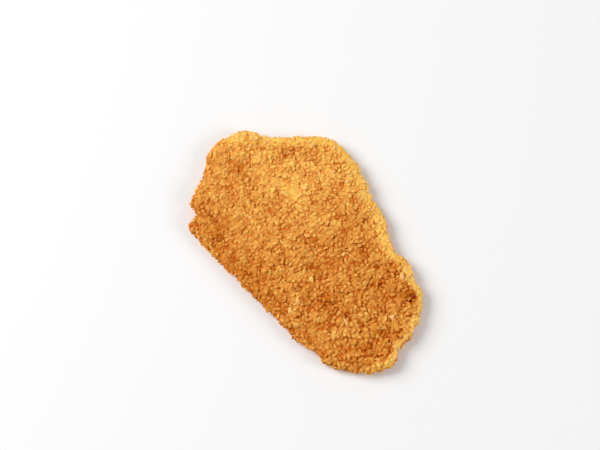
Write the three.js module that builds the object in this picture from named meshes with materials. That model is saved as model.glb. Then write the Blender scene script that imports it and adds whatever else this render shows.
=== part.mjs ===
// A breaded schnitzel: one flat cutlet in a fried crumb crust, lying on its underside.
// Millimetres, +Z up, +X along its length towards the narrow end. The origin is on the surface
// that it lies on, under the middle of its outline's box.
import * as THREE from "three";
import { ImprovedNoise } from "three/addons/math/ImprovedNoise.js";

// Driving dimensions
const LENGTH = 200;
const WIDTH = 122;
const THICKNESS = 10.6; // the top's height above the plate, before the crust's relief
const FACET = 2.2; // spacing of the points on the crust
const UNDER_FACET = 2.5; // and below the rim's nose, which is plainer

// The edge seen from above, anticlockwise from the narrow end: the points that its lobes, nicks
// and straighter sides need. The broad end is at -X, and the straighter side at -Y.
const EDGE_KNOTS = [
  [100, -15],
  [93, 3],
  [93, 9],
  [76, 37],
  [62, 41],
  [47, 46],
  [40, 43],
  [15, 52],
  [0, 54],
  [-28, 61],
  [-54, 57],
  [-80, 26],
  [-97, 12],
  [-99, -16],
  [-89, -28],
  [-75, -50],
  [-68, -50],
  [-65, -60],
  [-52, -61],
  [-6, -56],
  [31, -52],
  [48, -50],
  [60, -46],
  [71, -45],
];

// The rim's section: a blunt nose, a rounded shoulder up to the top and a short curve under.
// The spreads are how much more there is on the full side, and less on the opposite, thin side.
const FULL_SIDE = new THREE.Vector2(0.25, 0.97);
const NOSE_HEIGHT = 6.1;
const NOSE_SPREAD = 1.6;
const SHOULDER = 7.5; // from the edge to where the top is at its full height
const SHOULDER_SPREAD = -2.5;
const UNDERCUT = 4.5; // from the edge to where the underside lies on the plate

// The meat's slow waves
const WAVE_LENGTH = 42;
const WAVE_HEIGHT = 1.2;
const EDGE_WAVE_LENGTH = 30;
const EDGE_WAVE_HEIGHT = 1.3;

// The crust's relief: lumps where crumbs have clumped, and single coarse crumbs on them
const CLUMP_SIZE = 8.5;
const CLUMP_HEIGHT = 0.9;
const CRUMB_SIZE = 3.9;
const CRUMB_HEIGHT = 1.25;
const GRIT_SIZE = 1.1; // unevenness finer than a crumb
const GRIT_HEIGHT = 0.25;
const RELIEF_MIDDLE = 0.5; // the share of a lump's height that counts as the mean surface
const LUMP_REACH = [0.5, 0.9]; // a lump's radius as a share of its cell, least and most
const LOWEST_LUMP = 0.55; // the lowest lump's height as a share of the tallest's
const CELLS_ROUND = 27; // a cell and all the cells that touch it

// A crease in the crust near the broad end
const CREASE = { from: [-42, -59], to: [-38, -41], width: 2.6, depth: 1.6 };

// The rings of points close in on a spine, which is this far from the middle to either end
const SPINE_REACH = 44;
const SPINE_SHARE = 0.72; // where along the spine a point is drawn to, as a share of its own place
const UPPER_RINGS = 5;
const LOWER_RINGS = 3;
const JITTER = 0.22; // share of a facet that a point strays sideways, so that no ring shows
const EDGE_STEPS = 900; // steps of the curve that the rings are spaced out along
const FACING_STEPS = 4; // steps to either side that the edge's outward direction is taken over

// Salts, so that each draw of chance and each wave has a pattern of its own
const CLUMP_SALT = 11;
const CRUMB_SALT = 31;
const STRAY_SALT = 51;
const TOP_WAVE_SALT = 3.3;
const EDGE_WAVE_SALT = 7.1;

const UP = new THREE.Vector3(0, 0, 1);
const smoothNoise = new ImprovedNoise();

// A repeatable number from 0 to 1 for each cell of a lattice
function chance(x, y, z, salt) {
  let h = Math.imul(x, 374761393) + Math.imul(y, 668265263);
  h = (h + Math.imul(z, 1440662683) + Math.imul(salt, 1013904223)) | 0;
  h = Math.imul(h ^ (h >>> 13), 1274126177);
  h = Math.imul(h ^ (h >>> 15), 1103515245);
  return ((h ^ (h >>> 16)) >>> 0) / 4294967296;
}

// Round-topped lumps, one in each cell of a lattice: 0 between them, up to 1 on the tallest
function lumps(p, size, salt) {
  const cell = [p.x, p.y, p.z].map((v) => Math.floor(v / size));
  let height = 0;
  for (let i = 0; i < CELLS_ROUND; i++) {
    const at = [(i % 3) - 1, (Math.floor(i / 3) % 3) - 1, Math.floor(i / 9) - 1];
    const [x, y, z] = at.map((step, axis) => cell[axis] + step);
    const centre = new THREE.Vector3(
      (x + chance(x, y, z, salt)) * size,
      (y + chance(x, y, z, salt + 1)) * size,
      (z + chance(x, y, z, salt + 2)) * size,
    );
    const reach = size * THREE.MathUtils.lerp(...LUMP_REACH, chance(x, y, z, salt + 3));
    const tall = THREE.MathUtils.lerp(LOWEST_LUMP, 1, chance(x, y, z, salt + 4));
    height = Math.max(height, tall * (1 - p.distanceToSquared(centre) / reach ** 2));
  }
  return height;
}

// How deep the crease cuts in at a point
function crease(p) {
  const line = new THREE.Line3(
    new THREE.Vector3(...CREASE.from, p.z),
    new THREE.Vector3(...CREASE.to, p.z),
  );
  const near = line.closestPointToPoint(p, true, new THREE.Vector3());
  return CREASE.depth * Math.exp(-((near.distanceTo(p) / CREASE.width) ** 2));
}

// The crust's height over the meat's smooth surface
function relief(p) {
  const clumps = CLUMP_HEIGHT * (lumps(p, CLUMP_SIZE, CLUMP_SALT) - RELIEF_MIDDLE);
  const crumbs = CRUMB_HEIGHT * (lumps(p, CRUMB_SIZE, CRUMB_SALT) - RELIEF_MIDDLE);
  const grit = GRIT_HEIGHT * smoothNoise.noise(...p.clone().divideScalar(GRIT_SIZE));
  return clumps + crumbs + grit - crease(p);
}

function wave(x, y, length, salt) {
  return smoothNoise.noise(x / length, y / length, salt);
}

// The edge as closely spaced points, each with its outward direction
const edgeCurve = new THREE.CatmullRomCurve3(
  EDGE_KNOTS.map(([x, y]) => new THREE.Vector3(x, y, 0)),
  true,
  "centripetal",
);
const edgePoints = edgeCurve.getSpacedPoints(EDGE_STEPS).slice(0, EDGE_STEPS);
const edgeOutward = edgePoints.map((p, i) => {
  const before = edgePoints[(i + EDGE_STEPS - FACING_STEPS) % EDGE_STEPS];
  const after = edgePoints[(i + FACING_STEPS) % EDGE_STEPS];
  return new THREE.Vector2(after.y - before.y, before.x - after.x).normalize();
});

// Where a point of the edge is once the edge is drawn in by inset towards the spine
function drawnIn(point, inset) {
  const share = inset / (WIDTH / 2);
  const drawnTo = THREE.MathUtils.clamp(point.x * SPINE_SHARE, -SPINE_REACH, SPINE_REACH);
  return new THREE.Vector2(point.x, point.y).lerp(new THREE.Vector2(drawnTo, 0), share);
}

// The rim's section at each of the edge's points
const shoulders = edgeOutward.map((out) => SHOULDER + SHOULDER_SPREAD * out.dot(FULL_SIDE));
const noses = edgePoints.map((edge, i) => {
  const sway = EDGE_WAVE_HEIGHT * wave(edge.x, edge.y, EDGE_WAVE_LENGTH, EDGE_WAVE_SALT);
  return NOSE_HEIGHT + NOSE_SPREAD * edgeOutward[i].dot(FULL_SIDE) + sway;
});

// One ring of evenly spaced surface points. insetAt and heightAt give each point's place in the
// rim's section, from the number of the edge's point that it belongs to. tilt is the angle of
// the section's outward face above the level there.
function ring(insetAt, heightAt, tilt, spacing) {
  const line = edgePoints.map((p, i) => drawnIn(p, insetAt(i)));
  const reached = [0];
  line.forEach((p, i) => {
    reached.push(reached[i] + p.distanceTo(line[(i + 1) % line.length]));
  });
  const total = reached[line.length];
  const count = Math.round(total / spacing);
  const points = [];
  for (let k = 0, i = 0; k < count; k++) {
    while (reached[i + 1] < (total * k) / count) i++;
    const out = edgeOutward[i];
    const at = new THREE.Vector3(line[i].x, line[i].y, heightAt(line[i].x, line[i].y, i));
    const outward = new THREE.Vector3(out.x, out.y, 0);
    const normal = outward.multiplyScalar(Math.cos(tilt)).addScaledVector(UP, Math.sin(tilt));
    points.push({ at, normal });
  }
  return points;
}

const topHeight = (x, y) => THICKNESS + WAVE_HEIGHT * wave(x, y, WAVE_LENGTH, TOP_WAVE_SALT);

// Ring by ring from the middle of the top, out over the rim and in again to the underside
function rings() {
  const made = [];
  const innermost = WIDTH / 2 - FACET / 2;
  const topRings = Math.round((innermost - SHOULDER) / FACET);
  for (let k = topRings; k > 0; k--) {
    const inset = (i) => THREE.MathUtils.lerp(shoulders[i], innermost, k / topRings);
    made.push(ring(inset, topHeight, Math.PI / 2, FACET));
  }
  for (let k = UPPER_RINGS; k >= 0; k--) {
    const angle = (Math.PI / 2) * (k / UPPER_RINGS);
    const inset = (i) => shoulders[i] * (1 - Math.cos(angle));
    const height = (x, y, i) =>
      THREE.MathUtils.lerp(noses[i], topHeight(x, y), Math.sin(angle));
    made.push(ring(inset, height, angle, FACET));
  }
  for (let k = 1; k <= LOWER_RINGS; k++) {
    const angle = (Math.PI / 2) * (k / LOWER_RINGS);
    const inset = () => UNDERCUT * (1 - Math.cos(angle));
    const height = (x, y, i) => noses[i] * (1 - Math.sin(angle));
    made.push(ring(inset, height, -angle, UNDER_FACET));
  }
  return made;
}

// Gives a ring's points their crust. What lies on the plate stays flat.
function crusted(points, ringIndex, lies) {
  return points.map(({ at, normal }, k) => {
    const p = at.clone();
    const stray = FACET * JITTER;
    p.x += stray * (2 * chance(ringIndex, k, 0, STRAY_SALT) - 1);
    p.y += stray * (2 * chance(ringIndex, k, 1, STRAY_SALT) - 1);
    if (lies) return p.setZ(0);
    p.addScaledVector(normal, relief(p));
    return p.setZ(Math.max(p.z, 0));
  });
}

// Fills the band between two rows of vertices, which run the same way, by the shorter diagonal
// each time. The faces look towards whoever has the second row on the left of the first.
function band(row, next, vertices, faces) {
  let i = 0;
  let j = 0;
  while (i < row.length - 1 || j < next.length - 1) {
    const alongRow = i < row.length - 1 && vertices[row[i + 1]].distanceTo(vertices[next[j]]);
    const alongNext = j < next.length - 1 && vertices[row[i]].distanceTo(vertices[next[j + 1]]);
    if (alongNext === false || (alongRow !== false && alongRow <= alongNext)) {
      faces.push(row[i], row[i + 1], next[j]);
      i++;
    } else {
      faces.push(row[i], next[j + 1], next[j]);
      j++;
    }
  }
}

// Fills the narrow innermost ring from one of its long sides to the other
function middle(loop, vertices, faces) {
  const half = Math.ceil(loop.length / 2);
  band(loop.slice(0, half), loop.slice(half).reverse(), vertices, faces);
}

// Fills the flat inside of the ring that the underside ends in
function underside(loop, vertices, faces) {
  const flat = loop.map((v) => new THREE.Vector2(vertices[v].x, vertices[v].y));
  for (const [a, b, c] of THREE.ShapeUtils.triangulateShape(flat, [])) {
    faces.push(loop[a], loop[c], loop[b]);
  }
}

function crustGeometry() {
  const vertices = [];
  const faces = [];
  const all = rings();
  const loops = all.map((points, index) =>
    crusted(points, index, index === all.length - 1).map((p) => vertices.push(p) - 1),
  );
  const closed = (loop) => [...loop, loop[0]];
  middle(loops[0], vertices, faces);
  for (let k = 1; k < loops.length; k++) {
    band(closed(loops[k]), closed(loops[k - 1]), vertices, faces);
  }
  underside(loops.at(-1), vertices, faces);

  const geometry = new THREE.BufferGeometry().setFromPoints(vertices).setIndex(faces);
  geometry.computeBoundingBox();
  const { min, max } = geometry.boundingBox;
  geometry.translate(-(min.x + max.x) / 2, -(min.y + max.y) / 2, -min.z);
  geometry.scale(LENGTH / (max.x - min.x), WIDTH / (max.y - min.y), 1);
  geometry.computeVertexNormals();
  return geometry;
}

// Fried breadcrumb crust: golden brown, dry and matt with a trace of frying fat
const crust = new THREE.MeshStandardMaterial({
  color: "#d08a38",
  roughness: 0.72,
  metalness: 0,
});

const schnitzel = new THREE.Mesh(crustGeometry(), crust);
schnitzel.name = "schnitzel";

const part = new THREE.Group();
part.add(schnitzel);

export default part;
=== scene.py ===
# A fried breaded schnitzel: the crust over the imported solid, and the breadcrumbs on it.
import math
from collections import namedtuple

import bmesh
import bpy
import numpy as np
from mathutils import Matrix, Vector
from mathutils.kdtree import KDTree


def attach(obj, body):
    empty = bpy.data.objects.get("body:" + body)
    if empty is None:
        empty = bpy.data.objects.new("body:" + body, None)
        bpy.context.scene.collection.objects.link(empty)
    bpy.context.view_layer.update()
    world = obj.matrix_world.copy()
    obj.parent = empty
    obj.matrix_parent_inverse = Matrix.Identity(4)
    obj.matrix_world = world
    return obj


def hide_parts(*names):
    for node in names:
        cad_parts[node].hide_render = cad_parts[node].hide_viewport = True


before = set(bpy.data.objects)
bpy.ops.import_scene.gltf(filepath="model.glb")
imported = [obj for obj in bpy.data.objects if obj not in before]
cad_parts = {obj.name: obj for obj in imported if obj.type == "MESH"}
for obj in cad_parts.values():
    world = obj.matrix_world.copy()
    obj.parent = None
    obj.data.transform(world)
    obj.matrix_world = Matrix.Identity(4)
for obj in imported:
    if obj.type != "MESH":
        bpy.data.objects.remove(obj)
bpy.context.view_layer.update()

MM = 0.001
SEED = 20
SHARP = 32  # edges that turn by more degrees than this are sharp, on every piece

# ---------------------------------------------------------------- sizes, in millimetres

# The coating's own surface, under the crumbs
VOXEL = 0.75
EVENING_STEPS = 6  # rounds of smoothing that take the solid's facets out
COATING_DEPTH = 2.3  # how far the feet of its grains lie under the solid's surface
FLAT_FOOT = 0.15  # its height where it lies flat. The crumbs reach a little lower.
RELIEF, RELIEF_PER_X = 0.9, 0.0025  # how strong its relief is, and how that grows along x

# The grains that its relief is made of, from the coarsest to the finest
GRAIN_SIZES = (8.4, 4.8, 2.6)
GRAIN_HEIGHTS = (1.1, 1.1, 0.6)
GAP_DEPTHS = (0.7, 0.4, 0)  # how much deeper the gaps between the grains of each size are
GRAIN_SALTS = (1, 11, 21)
GAP_WIDTH = 0.1  # of those gaps, as the difference in height of the grains beside them
GAP_ONSET = 8  # how soon a gap is full where two grains begin to meet
GRAIN_REACH, REACH_SPREAD = 0.45, 0.4  # the least radius, in sizes, and how much more the most is
LEAST_GRAIN = 0.5  # the height of the lowest grains, as a share of the highest
GRAIN_TILT = 0.9  # how far their tops slope

# How the crumbs are shaped
CRUMB_SHAPES = 24  # of each kind
UNEVENNESS = 0.18  # of the balls that they are pared from, in radii
PLANES = 7  # that pare each one
PLANE_DISTANCES = (0.42, 0.82)  # from its middle, in radii
PIT_SIZE, PIT_DEPTH, PIT_SALT = 1.6, 0.7, 61  # of the roughness of their own surface

# How the crumbs lie
CRUMB_SEAT, SEAT_SPREAD = 0.28, 0.3  # how high their middles are over the coating, more or less
EDGE_SINK = 0.45  # how much deeper they are stuck in the edge, in half thicknesses
CALM_SINK = 0.42  # how much deeper they are stuck where the crust is calm
HIGHEST_SEAT = 0.22  # the most over the coating, in half thicknesses, so that none floats
LOWEST_SEAT = 0.35  # the least over the floor, so that none underneath is pressed to nothing
FOOT_SPREAD = 0.8  # how unevenly those underneath reach the floor, as a share of FLAT_FOOT
CRUMB_TILT = 0.4  # how far they lean
TRIES = 12  # places drawn for each crumb that is wanted
GAP_SPARED = 0.85  # how much rarer they are in the gaps between the coating's grains

# Where the crumbs lie, by how far the ground's normal rises, from -1 to 1
UNDERSIDE = -0.3  # below this it is underneath
TOP_START, TOP_RISE = 0.35, 0.4  # where the upper side begins, and over how much it comes in
LEVEL = 0.5  # above this it is level enough for a flake
FINE_UNDERNEATH = 0.45  # how many of the fine crumbs stay that fall underneath
CALM_LOSS = 0.9  # how much rarer the coarse and long crumbs are where the crust is calm
ROUND_CALM_LOSS = 0.5  # and how much rarer the round ones

# The few big flakes that catch the eye: (x, y)
FLAKES = [
    (18, 12),
    (57, -16),
    (73, 11),
    (56, 33),
    (26, -33),
    (19, -16),
    (44, -1),
    (-41, -22),
    (27, -41),
]

# Where the crust is calm and fine: (x, y, how far it spreads, how much)
CALM = [
    (-39, 11, 9, 0.65),
    (-16, 18, 8, 0.65),
    (-62, 2, 7, 0.8),
    (-88, -19, 12, 0.7),
    (-48, -36, 14, 0.7),
    (-27, -43, 12, 0.5),
    (55, -44, 14, 0.6),
    (-93, 11, 9, 0.8),
    (-82, 24, 8, 0.8),
]
CALM_RELIEF = 0.5  # how much of its relief the coating loses there
CALM_SHADE = 0.6  # and how much of the shade in its low places

# ---------------------------------------------------------------- browning and painted shade: 0 pale, 1 burnt

# Browning everywhere, and painted shade per mm: browner along x and paler along y, as light falls
# across it
TOAST, PAINTED_SHADE_PER_X, PAINTED_SHADE_PER_Y = 0.355, 0.0008, -0.0014
PALEST = 0.1  # as far as the frying has taken even the palest places, flakes apart
BASE_TOAST = 0.09  # how much browner the coating is than the crumbs on it
PAINTED_LOW_SHADE = 0.25  # painted shade: how much browner the lowest places are made than the highest
SHADED = 80  # the percentage of the coating that is low enough to be in some shade

CRUMB_TOAST_SPREAD = 0.04  # how much the crumbs differ from each other
DARK_CRUMBS, DARK_TOAST = 0.05, 0.2  # the share that has caught, and how much browner it is
LIGHT_CRUMBS, LIGHT_TOAST = 0.03, 0.15  # the share that has stayed light, and how much paler
FLAKE_PALE = 0.42  # how much paler the flakes are than the crust around them
PAINTED_FOOT_SHADE = 0.09  # painted shade: browner at a crumb's foot and paler at its top, by this much
CRUMB_SHADE = (-0.6, 0.1)  # how its shade falls from the foot up, and the shade at its middle

# How unevenly it has browned: (size of the patches, how much, salt)
CLOUDS = [
    (24, 0.05, 101),
    (8, 0.05, 102),
    (3.5, 0.2, 103),
]
# Small spots that have caught, and the noise where they begin and where they are full
SPOT_SIZE, SPOT_TOAST, SPOT_SALT = 2.8, 0.3, 104
SPOT_START, SPOT_END = 0.68, 0.9

# Where the crust has browned most: (x, y, how far it spreads, how much)
BROWNED = [
    (5, 32, 7, 0.22),
    (69, 28, 9, 0.30),
    (24, 24, 7, 0.22),
    (37, -21, 8, 0.25),
    (76, -6, 10, 0.17),
    (84, -28, 8, 0.18),
    (34, 18, 12, 0.12),
    (-64, 29, 6, 0.26),
    (-75, -8, 8, 0.26),
    (51, 19, 8, 0.18),
    (-41, -50, 7, 0.24),
    (20, -1, 26, 0.09),
    (-66, -56, 10, 0.12),
    (-50, -37, 8, 0.12),
    (8, -58, 8, 0.08),
    (-58, -46, 9, 0.14),
    (14, -50, 9, 0.20),
    (45, 37, 4, 0.20),
    (15, -8, 4, 0.20),
    (52, -13, 4, 0.20),
    (81, -19, 4, 0.18),
    (-15, -49, 18, 0.12),
    (70, 31, 5, 0.30),
    (86, 6, 5, 0.20),
    (-43, -49, 6, 0.18),
    (-12, -51, 5, 0.18),
    (46, 31, 5, 0.14),
]
# Where it has stayed pale
PALE = [
    (-49, 10, 14, 0.16),
    (-29, 37, 10, 0.16),
    (-22, 5, 11, 0.12),
    (12, -23, 8, 0.08),
    (32, 36, 8, 0.06),
    (70, -42, 9, 0.08),
    (-64, 11, 9, 0.07),
    (-36, 14, 8, 0.06),
    (68, -17, 8, 0.10),
    (28, -35, 8, 0.08),
    (-44, -29, 8, 0.07),
    (-92, 6, 9, 0.13),
    (-80, 20, 8, 0.12),
    (-55, 52, 8, 0.10),
    (29, 1, 7, 0.14),
    (29, -18, 4, 0.22),
    (-72, -21, 6, 0.22),
    (-31, 20, 6, 0.15),
    (-7, 24, 5, 0.12),
]
# Both are on the upper side: the height where it begins, and over how much more it comes in
UPPER_START, UPPER_RISE = 7.0, 2.5

# The rim has its own looks
RIM, NARROW_RIM = 13.0, 7.5  # how wide they are, and how wide at the narrow end
RIM_NARROWS = (35, 65)  # from which x to which
STEEP = 0.3  # the rim's nose is where the normal rises or falls by less than this
BROWN_SIDE = (-0.45, -0.89, 0)  # the side where it has browned. Opposite, it is pale.
PALE_RIM, BROWN_RIM = 0.8, 0.18  # how much paler and how much browner
# How they come in, as (slope, start): with the nearness to the edge, and with how far that edge
# faces the brown side
PALE_BY_NEARNESS, PALE_BY_SIDE = (1.5, -0.4), (-0.95, 0.85)
CALM_BY_NEARNESS, CALM_BY_SIDE = (2.6, -0.9), (-0.85, 1.05)
BROWN_BY_SIDE = (1.3, -0.3)

# ---------------------------------------------------------------- the view and the light

# Where it looks, from where, in degrees and millimetres
LOOKS_AT = (-17.77, 3.09, 0)
AZIMUTH, ELEVATION = 52, 75
DISTANCE = 1150
LENS, SENSOR = 100, 36
CLIP = (0.05, 20)  # in metres

# The lights: (name, azimuth, elevation, distance and width in metres, watts)
LIGHTS = [
    ("key", 302, 40, 2.6, 1.8, 56.5),
    ("fill", 128, 27, 2.6, 1.2, 23),
]
ROOM_LIGHT = 0.36  # the even white light from all around
FLOOR_HALF = 6.0  # half the floor's side, in metres


# ---------------------------------------------------------------- materials


def linear(hex_colour):
    """An sRGB hex colour as the linear RGBA that shaders take."""
    parts = [int(hex_colour[i : i + 2], 16) / 255 for i in (1, 3, 5)]
    return tuple(
        c / 12.92 if c <= 0.04045 else ((c + 0.055) / 1.055) ** 2.4 for c in parts
    ) + (1.0,)


def add_node(tree, kind, inputs=None, **settings):
    """Adds a node with its settings. An input is a value or another node's output."""
    node = tree.nodes.new(kind)
    for name, value in settings.items():
        setattr(node, name, value)
    for name, value in (inputs or {}).items():
        if isinstance(value, bpy.types.NodeSocket):
            tree.links.new(value, node.inputs[name])
        else:
            node.inputs[name].default_value = value
    return node


def set_stops(ramp, stops):
    elements = ramp.color_ramp.elements
    while len(elements) < len(stops):
        elements.new(0.5)  # anywhere between the first and the last
    for element, (position, colour) in zip(elements, stops):
        element.position = position
        element.color = linear(colour)


def blank_material(name):
    material = bpy.data.materials.new(name)
    material.use_nodes = True
    material.node_tree.nodes.clear()
    return material, material.node_tree


# From the palest crumb to one that has caught in the pan
TOAST_STOPS = [
    (0.0, "#FFC87A"),
    (0.1, "#FFCE62"),
    (0.27, "#F7B85A"),
    (0.5, "#E69B40"),
    (0.75, "#CE7418"),
    (1.0, "#A04406"),
]
CREVICE_SHADE = "#E6A66C"  # the colour of the painted shade, multiplied in fully in the deepest places between the crumbs
# Its patterns, with their sizes in millimetres
MOTTLE_SIZE, MOTTLE_TOAST = 0.9, 0.035  # of the uneven browning within a crumb
PORE_SIZE, PORE_DEPTH = 0.35, 0.08  # of the pores in the bread
SOAK = 0.8  # how far light soaks in


def fried_breadcrumb():
    """Wheat breadcrumb fried in fat: matt and porous, golden where it stands proud, with painted
    shade that deepens it between the crumbs, a faint greasy gleam and a little light soaking
    through it."""
    material, tree = blank_material("fried_breadcrumb")
    toast = add_node(tree, "ShaderNodeAttribute", attribute_name="toast")
    # how much painted shade each vertex has
    painted_shade = add_node(tree, "ShaderNodeAttribute", attribute_name="painted_shade")
    place = add_node(tree, "ShaderNodeTexCoord").outputs["Object"]
    mottle = add_node(
        tree,
        "ShaderNodeTexNoise",
        {"Vector": place, "Scale": 1 / (MOTTLE_SIZE * MM), "Detail": 3.0, "Roughness": 0.6},
    )
    uneven = add_node(
        tree,
        "ShaderNodeMapRange",
        {
            "Value": mottle.outputs["Fac"],
            "From Min": 0.3,
            "From Max": 0.7,
            "To Min": -MOTTLE_TOAST,
            "To Max": MOTTLE_TOAST,
        },
    )
    tone = add_node(
        tree,
        "ShaderNodeMath",
        {0: toast.outputs["Fac"], 1: uneven.outputs["Result"]},
        operation="ADD",
    )
    ramp = add_node(tree, "ShaderNodeValToRGB", {"Fac": tone.outputs["Value"]})
    set_stops(ramp, TOAST_STOPS)
    # painted shade: the crevice colour multiplied in as far as each vertex asks
    colour = add_node(
        tree,
        "ShaderNodeMix",
        {"Factor": painted_shade.outputs["Fac"], "A": ramp.outputs["Color"], "B": linear(CREVICE_SHADE)},
        data_type="RGBA",
        blend_type="MULTIPLY",
    )
    pores = add_node(
        tree,
        "ShaderNodeTexNoise",
        {"Vector": place, "Scale": 1 / (PORE_SIZE * MM), "Detail": 2.0},
    )
    bump = add_node(
        tree,
        "ShaderNodeBump",
        {"Height": pores.outputs["Fac"], "Strength": 0.5, "Distance": PORE_DEPTH * MM},
    )
    gleam = add_node(
        tree,
        "ShaderNodeMapRange",
        {"Value": pores.outputs["Fac"], "To Min": 0.4, "To Max": 0.7},
    )
    shader = add_node(
        tree,
        "ShaderNodeBsdfPrincipled",
        {
            "Base Color": colour.outputs["Result"],
            "Roughness": gleam.outputs["Result"],
            "Normal": bump.outputs["Normal"],
            "IOR": 1.45,  # as frying fat has
            "Specular IOR Level": 0.1,  # faint, because the crumb is porous
            "Subsurface Weight": 0.1,
            "Subsurface Radius": (1.0, 0.4, 0.1),  # red soaks in furthest
            "Subsurface Scale": SOAK * MM,
        },
    )
    add_node(tree, "ShaderNodeOutputMaterial", {"Surface": shader.outputs["BSDF"]})
    return material


def matt_white_board():
    """White laminated board under the food: matt, with no pattern that shows."""
    material, tree = blank_material("matt_white_board")
    shader = add_node(
        tree,
        "ShaderNodeBsdfPrincipled",
        {"Base Color": linear("#FAFAFA"), "Roughness": 0.6, "IOR": 1.45},
    )
    add_node(tree, "ShaderNodeOutputMaterial", {"Surface": shader.outputs["BSDF"]})
    return material


# ---------------------------------------------------------------- patterns in space


def chance(cells, salt):
    """A repeatable number from 0 to 1 for each row of whole numbers."""
    with np.errstate(over="ignore"):
        h = np.full(len(cells), 0x9E3779B9 + salt * 0x85EBCA6B, np.uint64)
        for axis in range(cells.shape[1]):
            h ^= cells[:, axis].astype(np.int64).view(np.uint64)
            h *= np.uint64(0xBF58476D1CE4E5B9)
            h ^= h >> np.uint64(29)
    return (h >> np.uint64(11)).astype(float) / float(1 << 53)


def cloud(points, size, salt):
    """Smooth noise from 0 to 1 whose patches are about size across."""
    at = points / size
    base = np.floor(at).astype(int)
    part = at - base
    part = part * part * (3 - 2 * part)
    total = np.zeros(len(points))
    for corner in np.ndindex(2, 2, 2):
        weight = np.prod(np.where(corner, part, 1 - part), axis=1)
        total += weight * chance(base + corner, salt)
    return total


def grains(points, size, salt):
    """Packed angular grains: their height, from 0 to about 1, and the gaps between them, from 0
    to 1 in the middle of a gap. They use up the salts from salt to salt + 7."""
    base = np.floor(points / size).astype(int)
    height = np.zeros(len(points))
    second = np.zeros(len(points))
    for step in np.ndindex(3, 3, 3):
        cell = base + np.array(step) - 1
        centre = np.stack([cell[:, k] + chance(cell, salt + k) for k in range(3)], 1) * size
        facing = np.stack([chance(cell, salt + 3 + k) for k in range(3)], 1) - 0.5
        away = (points - centre) / size
        reach = GRAIN_REACH + REACH_SPREAD * chance(cell, salt + 6)
        tall = LEAST_GRAIN + (1 - LEAST_GRAIN) * chance(cell, salt + 7)
        dome = np.sqrt(np.maximum(1 - (away**2).sum(1) / reach**2, 0))
        here = dome * (tall + GRAIN_TILT * (away * facing).sum(1))
        second = np.maximum(second, np.minimum(height, here))
        height = np.maximum(height, here)
    gap = np.exp(-(((height - second) / GAP_WIDTH) ** 2)) * np.clip(GAP_ONSET * second, 0, 1)
    return np.minimum(height, 1), gap


def patch(points, x, y, spread):
    """1 at (x, y), whatever the height, and down to 0 beyond its spread."""
    away = (points[:, 0] - x) ** 2 + (points[:, 1] - y) ** 2
    return np.exp(-away / spread**2)


def rising(values, slope, start):
    """A straight slope that is at start where the values are 0, and is cut off at 0 and 1."""
    return np.clip(slope * values + start, 0, 1)


# ---------------------------------------------------------------- meshes


def read_mesh(mesh):
    """A mesh's vertex places in mm and its triangles."""
    places = np.empty(len(mesh.vertices) * 3, np.float32)
    mesh.vertices.foreach_get("co", places)
    mesh.calc_loop_triangles()
    triangles = np.empty(len(mesh.loop_triangles) * 3, np.int32)
    mesh.loop_triangles.foreach_get("vertices", triangles)
    return places.reshape(-1, 3) / MM, triangles.reshape(-1, 3)


def make_piece(name, places, triangles, material, attributes):
    """A piece from places in mm, with a number at each vertex per attribute."""
    mesh = bpy.data.meshes.new(name)
    mesh.vertices.add(len(places))
    mesh.vertices.foreach_set("co", (places * MM).astype(np.float32).ravel())
    mesh.loops.add(triangles.size)
    mesh.loops.foreach_set("vertex_index", triangles.astype(np.int32).ravel())
    mesh.polygons.add(len(triangles))
    mesh.polygons.foreach_set("loop_start", np.arange(0, triangles.size, 3, dtype=np.int32))
    mesh.update(calc_edges=True)
    mesh.validate()
    mesh.shade_smooth()
    mesh.set_sharp_from_angle(angle=math.radians(SHARP))
    for label, values in attributes.items():
        layer = mesh.attributes.new(label, "FLOAT", "POINT")
        layer.data.foreach_set("value", np.asarray(values, np.float32))
    mesh.materials.append(material)
    piece = bpy.data.objects.new(name, mesh)
    bpy.context.scene.collection.objects.link(piece)
    return piece


def summed(vectors, at, n):
    """The vectors added up at the vertices that they belong to, of which there are n."""
    return np.stack([np.bincount(at, vectors[:, k], n) for k in range(3)], 1)


def evened(places, triangles, steps):
    """Places moved half the way to the middle of their neighbours, steps times."""
    ends = np.concatenate([triangles[:, [0, 1]], triangles[:, [1, 2]], triangles[:, [2, 0]]])
    count = np.bincount(ends[:, 0], minlength=len(places))[:, None]
    for _ in range(steps):
        total = summed(places[ends[:, 1]], ends[:, 0], len(places))
        places = places + 0.5 * (total / count - places)
    return places


def vertex_normals(places, triangles):
    a, b, c = (places[triangles[:, k]] for k in range(3))
    across = np.cross(b - a, c - a)
    total = summed(np.repeat(across, 3, axis=0), triangles.ravel(), len(places))
    return total / np.maximum(np.linalg.norm(total, axis=1, keepdims=True), 1e-9)


# ---------------------------------------------------------------- the crust


def solid_skin(node):
    """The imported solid's surface as an even fine mesh with its facets smoothed out."""
    copy = bpy.data.objects.new("skin", node.data.copy())
    bpy.context.scene.collection.objects.link(copy)
    remesh = copy.modifiers.new("skin", "REMESH")
    remesh.mode = "VOXEL"
    remesh.voxel_size = VOXEL * MM
    graph = bpy.context.evaluated_depsgraph_get()
    mesh = bpy.data.meshes.new_from_object(copy.evaluated_get(graph))
    places, triangles = read_mesh(mesh)
    bpy.data.objects.remove(copy)
    bpy.data.meshes.remove(mesh)
    places = evened(places, triangles, EVENING_STEPS)
    return places, vertex_normals(places, triangles), triangles


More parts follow.
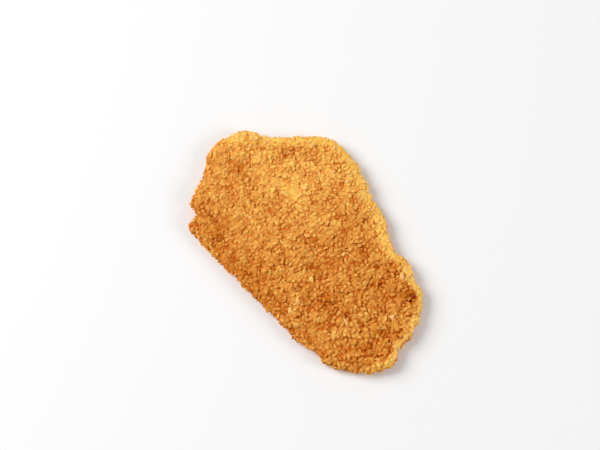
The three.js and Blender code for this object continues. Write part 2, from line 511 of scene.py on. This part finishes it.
class Rim:
    """The edge, seen from above."""

    def __init__(self, places, normals):
        nose = np.flatnonzero(np.abs(normals[:, 2]) < STEEP)
        self.facing = normals[nose]
        self.tree = KDTree(len(nose))
        for i, (x, y, _) in enumerate(places[nose]):
            self.tree.insert((x, y, 0), i)
        self.tree.balance()

    def look_up(self, points):
        """The nearness to the edge, from 0 to 1, and how far the edge there faces the brown
        side, from -1 to 1."""
        found = [self.tree.find((x, y, 0)) for x, y, _ in points]
        start, end = RIM_NARROWS
        narrowed = np.clip((points[:, 0] - start) / (end - start), 0, 1)
        width = RIM + (NARROW_RIM - RIM) * narrowed
        near = np.clip(1 - np.array([f[2] for f in found]) / width, 0, 1)
        return near, self.facing[[f[1] for f in found]] @ BROWN_SIDE


def upper_side(points):
    """1 on the upper side, down to 0 on the lower half of the rim and underneath."""
    return np.clip((points[:, 2] - UPPER_START) / UPPER_RISE, 0, 1)


def browning(points, rim):
    """How far frying and painted shade take the crust at each point: 0 is pale, 1 is nearly
    burnt.
    """
    upper = upper_side(points)
    # browning everywhere, with painted shade that grows along x and fades along y
    toast = TOAST + PAINTED_SHADE_PER_X * points[:, 0] + PAINTED_SHADE_PER_Y * points[:, 1]
    for size, strength, salt in CLOUDS:
        toast += strength * (cloud(points, size, salt) - 0.5)
    spot = (cloud(points, SPOT_SIZE, SPOT_SALT) - SPOT_START) / (SPOT_END - SPOT_START)
    toast += SPOT_TOAST * np.clip(spot, 0, 1)
    for patches, sign in ((BROWNED, 1), (PALE, -1)):
        for x, y, spread, strength in patches:
            toast += sign * strength * patch(points, x, y, spread) * upper
    near, brown = rim.look_up(points)
    pale = rising(near, *PALE_BY_NEARNESS) * rising(brown, *PALE_BY_SIDE)
    toast -= PALE_RIM * pale * upper
    toast += BROWN_RIM * near * rising(brown, *BROWN_BY_SIDE)
    return np.maximum(toast, PALEST)


def calm(points, rim):
    """How calm and fine the crust is at each point, from 0 to 1."""
    near, brown = rim.look_up(points)
    most = rising(near, *CALM_BY_NEARNESS) * rising(brown, *CALM_BY_SIDE) * upper_side(points)
    for x, y, spread, strength in CALM:
        most = np.maximum(most, strength * patch(points, x, y, spread))
    return most


# What the crumbs are stuck in. skin, normals and triangles are the coating's mesh, with the
# normals of the smooth solid. low is the painted shade, as browning, that each vertex gets for
# lying low, and gap how deep in a gap it lies. taken lists the places of the crumbs so far.
Ground = namedtuple("Ground", "skin normals triangles low gap rim taken")


def crust(node, material):
    """The coating in the solid's place, as a piece, and the ground for the crumbs."""
    skin, normals, triangles = solid_skin(node)
    rim = Rim(skin, normals)
    height = np.zeros(len(skin))
    gaps = np.zeros(len(skin))
    for size, tall, deep, salt in zip(GRAIN_SIZES, GRAIN_HEIGHTS, GAP_DEPTHS, GRAIN_SALTS):
        grain, gap = grains(skin, size, salt)
        height += tall * grain - deep * gap
        gaps = np.maximum(gaps, gap * deep / max(GAP_DEPTHS))
    middle = height.mean()
    smooth = calm(skin, rim)
    strength = (RELIEF + RELIEF_PER_X * skin[:, 0]) * (1 - CALM_RELIEF * smooth)
    height = middle + (height - middle) * strength
    places = skin + normals * (height - COATING_DEPTH)[:, None]
    places[:, 2] = np.maximum(places[:, 2], FLAT_FOOT)
    # painted shade, as browning, in the low places between the grains
    low = PAINTED_LOW_SHADE * (middle - height) / sum(GRAIN_HEIGHTS)
    toast = browning(skin, rim) + low + BASE_TOAST * (1 - smooth)
    # painted shade in the coating's low places, less where the crust is calm
    shade = 1 - np.clip(height / np.percentile(height, SHADED), 0, 1)
    shade = shade * (1 - CALM_SHADE * smooth)
    piece = make_piece("crust", places, triangles, material, {"toast": toast, "painted_shade": shade})
    return piece, Ground(places, normals, triangles, low, gaps, rim, [])


# ---------------------------------------------------------------- the crumbs on it


def chip_shapes(subdivisions, variants, draw):
    """Angular crumbs about 1 in radius, which share one set of triangles: balls that random
    planes have pared flat."""
    ball = bmesh.new()
    bmesh.ops.create_icosphere(ball, subdivisions=subdivisions, radius=1)
    round_places = np.array([v.co for v in ball.verts])
    triangles = np.array([[v.index for v in f.verts] for f in ball.faces])
    ball.free()
    shapes = []
    for _ in range(variants):
        bumpy = 1 + UNEVENNESS * draw.standard_normal((len(round_places), 1))
        places = round_places * bumpy
        for _ in range(PLANES):
            facing = draw.standard_normal(3)
            facing /= np.linalg.norm(facing)
            over = np.maximum(places @ facing - draw.uniform(*PLANE_DISTANCES), 0)
            places = places - over[:, None] * facing
        shapes.append(places)
    return np.array(shapes), triangles


def spots_on(skin, triangles, count, draw):
    """Even random places on the skin: which triangle, and the place's shares of its corners."""
    a, b, c = (skin[triangles[:, k]] for k in range(3))
    area = np.linalg.norm(np.cross(b - a, c - a), axis=1)
    face = draw.choice(len(triangles), count, p=area / area.sum())
    u, v = draw.random((2, count))
    fold = u + v > 1
    u[fold], v[fold] = 1 - u[fold], 1 - v[fold]
    shares = np.stack([1 - u - v, u, v], 1)
    return face, shares


def well_apart(points, gap, taken):
    """Which of the points to keep so that none is nearer than gap to another or to one taken."""
    tree = KDTree(len(points))
    for i, point in enumerate(points):
        tree.insert(point, i)
    tree.balance()
    free = np.ones(len(points), bool)
    for point in taken:
        for _, j, _ in tree.find_range(point, gap):
            free[j] = False
    for i, point in enumerate(points):
        if free[i]:
            for _, j, _ in tree.find_range(point, gap):
                if j > i:
                    free[j] = False
    return np.flatnonzero(free)


def scattered(ground, draw, *, count, gap, weight):
    """Up to count random places on the ground that are at least gap from each other and from
    those of the crumbs before: where they are, the way the ground faces there and the painted
    shade, as browning, that it gets for lying low."""
    face, shares = spots_on(ground.skin, ground.triangles, count * TRIES, draw)
    corners = ground.triangles[face]
    points = (ground.skin[corners] * shares[:, :, None]).sum(1)
    facing = (ground.normals[corners] * shares[:, :, None]).sum(1)
    low, in_gap = ((values[corners] * shares).sum(1) for values in (ground.low, ground.gap))
    likely = weight(points, facing, ground.rim) * (1 - GAP_SPARED * in_gap)
    keep = np.flatnonzero(draw.random(len(points)) < likely)
    keep = keep[well_apart(points[keep], gap, ground.taken)[:count]]
    ground.taken.extend(points[keep])
    return points[keep], facing[keep], low[keep]


def placed(ground, spots):
    """Given (x, y) places on top of the ground, with the same values as scattered."""
    top = np.flatnonzero(ground.normals[:, 2] > LEVEL)
    away = [((ground.skin[top, :2] - spot) ** 2).sum(1) for spot in spots]
    chosen = top[np.argmin(away, axis=1)]
    ground.taken.extend(ground.skin[chosen])
    return ground.skin[chosen], ground.normals[chosen], ground.low[chosen]


def crumbs(name, ground, material, draw, *, size, subdivisions, spots=None, pale=0, **where):
    """One kind of crumb, at the spots or scattered over the ground, and stuck in it. size is the
    range of each crumb's length, width and thickness in mm, and pale how much paler they are
    than the crust around them."""
    shapes, faces = chip_shapes(subdivisions, CRUMB_SHAPES, draw)
    points, facing, low = placed(ground, spots) if spots else scattered(ground, draw, **where)
    n = len(points)

    # which way each is turned, and how large it is
    up = facing + CRUMB_TILT * draw.standard_normal((n, 3))
    up /= np.linalg.norm(up, axis=1, keepdims=True)
    along = np.cross(up, draw.standard_normal((n, 3)))
    along /= np.linalg.norm(along, axis=1, keepdims=True)
    axes = np.stack([along, np.cross(up, along), up], 1)
    half = np.stack([draw.uniform(least, most, n) for least, most in size], 1) / 2
    local = shapes[draw.integers(len(shapes), size=n)] * half[:, None, :]

    # how deep it is stuck in the coating
    lift = draw.uniform(-SEAT_SPREAD, SEAT_SPREAD, n) + CRUMB_SEAT
    lift -= EDGE_SINK * half[:, 2] * (1 - np.abs(facing[:, 2]))
    lift -= CALM_SINK * calm(points, ground.rim)
    lift = np.minimum(lift, HIGHEST_SEAT * half[:, 2])
    seats = points + facing * lift[:, None]
    seats[:, 2] = np.maximum(seats[:, 2], LOWEST_SEAT)

    # in its place, rough all over, and flat where it meets the floor
    places = np.einsum("nvk,nkx->nvx", local, axes)
    outward = places / np.linalg.norm(places, axis=2, keepdims=True)
    places += seats[:, None, :]
    pitted, _ = grains(places.reshape(-1, 3), PIT_SIZE, PIT_SALT)
    places += outward * PIT_DEPTH * (pitted.reshape(n, -1, 1) - 0.5)
    foot = draw.uniform(0, FOOT_SPREAD * FLAT_FOOT, (n, 1))
    places[:, :, 2] = np.maximum(places[:, :, 2], foot)

    # how brown it is, with painted shade that darkens it towards its foot
    height = local[:, :, 2] / half[:, 2:3]
    toast = browning(points, ground.rim) + low - pale
    toast += CRUMB_TOAST_SPREAD * draw.standard_normal(n)
    dark = np.where(draw.random(n) < DARK_CRUMBS, DARK_TOAST, 0)
    light = np.where(draw.random(n) < LIGHT_CRUMBS, LIGHT_TOAST, 0)
    toast += dark - light
    # painted shade: browner towards its foot and paler towards its top
    toast = toast[:, None] - PAINTED_FOOT_SHADE * height
    shade = rising(height, *CRUMB_SHADE)

    every = (np.arange(n) * shapes.shape[1])[:, None, None] + faces
    return make_piece(
        name,
        places.reshape(-1, 3),
        every.reshape(-1, 3),
        material,
        {"toast": toast.ravel(), "painted_shade": shade.ravel()},
    )


# How likely a crumb that falls on each point is to stay there


def all_over(points, facing, rim):
    return np.where(facing[:, 2] > UNDERSIDE, 1.0, FINE_UNDERNEATH)


def top_and_edge(points, facing, rim):
    return np.where(facing[:, 2] > UNDERSIDE, 1 - ROUND_CALM_LOSS * calm(points, rim), 0.0)


def underneath(points, facing, rim):
    return np.where(facing[:, 2] > UNDERSIDE, 0.0, 1.0)


def on_top(points, facing, rim):
    """Upper side only, and few where the coating is calm or turns down to the edge."""
    level = np.clip((facing[:, 2] - TOP_START) / TOP_RISE, 0, 1)
    return level * (1 - CALM_LOSS * calm(points, rim))


# ---------------------------------------------------------------- the studio


def towards(azimuth, elevation):
    """The direction back from what is looked at. Azimuth 0 looks along +Y, 90 along -X."""
    a, e = math.radians(azimuth), math.radians(elevation)
    return Vector((math.sin(a) * math.cos(e), -math.cos(a) * math.cos(e), math.sin(e)))


def camera():
    data = bpy.data.cameras.new("camera")
    data.lens, data.sensor_width = LENS, SENSOR
    data.clip_start, data.clip_end = CLIP
    view = bpy.data.objects.new("camera", data)
    back = towards(AZIMUTH, ELEVATION)
    view.location = Vector(LOOKS_AT) * MM + back * DISTANCE * MM
    view.rotation_euler = (-back).to_track_quat("-Z", "Y").to_euler()
    bpy.context.scene.collection.objects.link(view)
    bpy.context.scene.camera = view


def soft_light(name, azimuth, elevation, distance, width, watts):
    data = bpy.data.lights.new(name, "AREA")
    data.shape, data.size, data.energy = "DISK", width, watts
    light = bpy.data.objects.new(name, data)
    back = towards(azimuth, elevation)
    light.location = back * distance
    light.rotation_euler = (-back).to_track_quat("-Z", "Y").to_euler()
    bpy.context.scene.collection.objects.link(light)


def floor(material):
    h = FLOOR_HALF
    mesh = bpy.data.meshes.new("floor")
    mesh.from_pydata([(-h, -h, 0), (h, -h, 0), (h, h, 0), (-h, h, 0)], [], [(0, 1, 2, 3)])
    mesh.materials.append(material)
    board = bpy.data.objects.new("floor", mesh)
    bpy.context.scene.collection.objects.link(board)


def studio():
    camera()
    floor(matt_white_board())
    for light in LIGHTS:
        soft_light(*light)
    world = bpy.data.worlds.new("studio")
    world.use_nodes = True
    background = world.node_tree.nodes["Background"]
    background.inputs["Color"].default_value = (1, 1, 1, 1)
    background.inputs["Strength"].default_value = ROOM_LIGHT
    bpy.context.scene.world = world
    bpy.context.scene.view_settings.view_transform = "Standard"


# ---------------------------------------------------------------- all of it

studio()
draw = np.random.default_rng(SEED)
fried = fried_breadcrumb()
body, ground = crust(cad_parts["schnitzel"], fried)
shared = (ground, fried, draw)
# From the largest kind to the smallest, because each fills the room that those before it leave.
# Some kinds run out of room before they reach their count.
pieces = [
    body,
    crumbs("crumbs_flakes", *shared, spots=FLAKES, pale=FLAKE_PALE, subdivisions=3,
           size=((5.4, 6.8), (3.2, 4.2), (1.6, 2.2))),
    crumbs("crumbs_coarse", *shared, count=140, gap=7.0, subdivisions=3, weight=on_top,
           size=((4.2, 5.6), (3.0, 4.2), (2.2, 2.8))),
    crumbs("crumbs_long", *shared, count=900, gap=3.0, subdivisions=2, weight=on_top,
           size=((3.6, 5.2), (2.3, 3.1), (1.8, 2.4))),
    crumbs("crumbs_round", *shared, count=2450, gap=2.6, subdivisions=2, weight=top_and_edge,
           size=((2.9, 3.9), (2.4, 3.2), (1.8, 2.3))),
    crumbs("crumbs_under", *shared, count=2450, gap=2.1, subdivisions=2, weight=underneath,
           size=((2.6, 3.8), (2.0, 2.9), (1.4, 2.0))),
    crumbs("crumbs_fine", *shared, count=4000, gap=1.8, subdivisions=1, weight=all_over,
           size=((1.5, 2.3), (1.2, 1.9), (0.9, 1.4))),
]
for piece in pieces:
    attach(piece, "root")
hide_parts("schnitzel")
